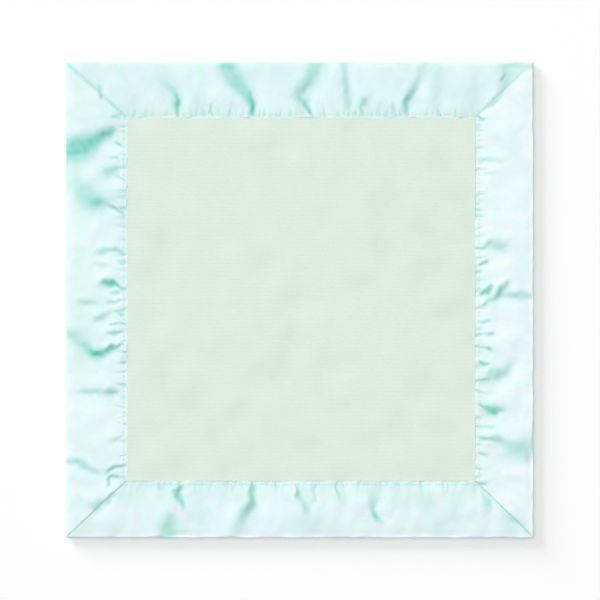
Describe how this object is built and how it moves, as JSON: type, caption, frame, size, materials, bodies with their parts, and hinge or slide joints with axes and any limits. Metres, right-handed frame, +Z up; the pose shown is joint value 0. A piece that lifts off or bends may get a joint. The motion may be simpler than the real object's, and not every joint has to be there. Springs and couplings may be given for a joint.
{
  "type": "comfort blanket",
  "caption": "Small square comfort blanket: plush panels bound all round with puckered satin, mitred at the corners and topstitched.",
  "frame": {"origin": "under the blanket's centre, at the surface it lies on", "axes": "+Z up from the underside to the front face, +Y to the top edge and +X to the right edge, as in the picture"},
  "size_m": [0.35, 0.356, 0.0078],
  "materials": {
    "plush": "soft short-pile plush, matt, pale green",
    "satin": "glossy woven satin, pale mint",
    "thread": "spun polyester sewing thread, mint"
  },
  "bodies": {
    "root": {"front_panel": "plush", "back_panel": "plush", "overlock_thread": "thread", "binding_bottom": "satin", "binding_right": "satin", "binding_top": "satin", "binding_left": "satin", "front_stitch_bottom": "thread", "front_stitch_right": "thread", "front_stitch_top": "thread", "front_stitch_left": "thread", "back_stitch_bottom": "thread", "back_stitch_right": "thread", "back_stitch_top": "thread", "back_stitch_left": "thread", "mitre_seam_bottom_left": "thread", "mitre_seam_bottom_right": "thread", "mitre_seam_top_right": "thread", "mitre_seam_top_left": "thread"}
  },
  "joints": []
}
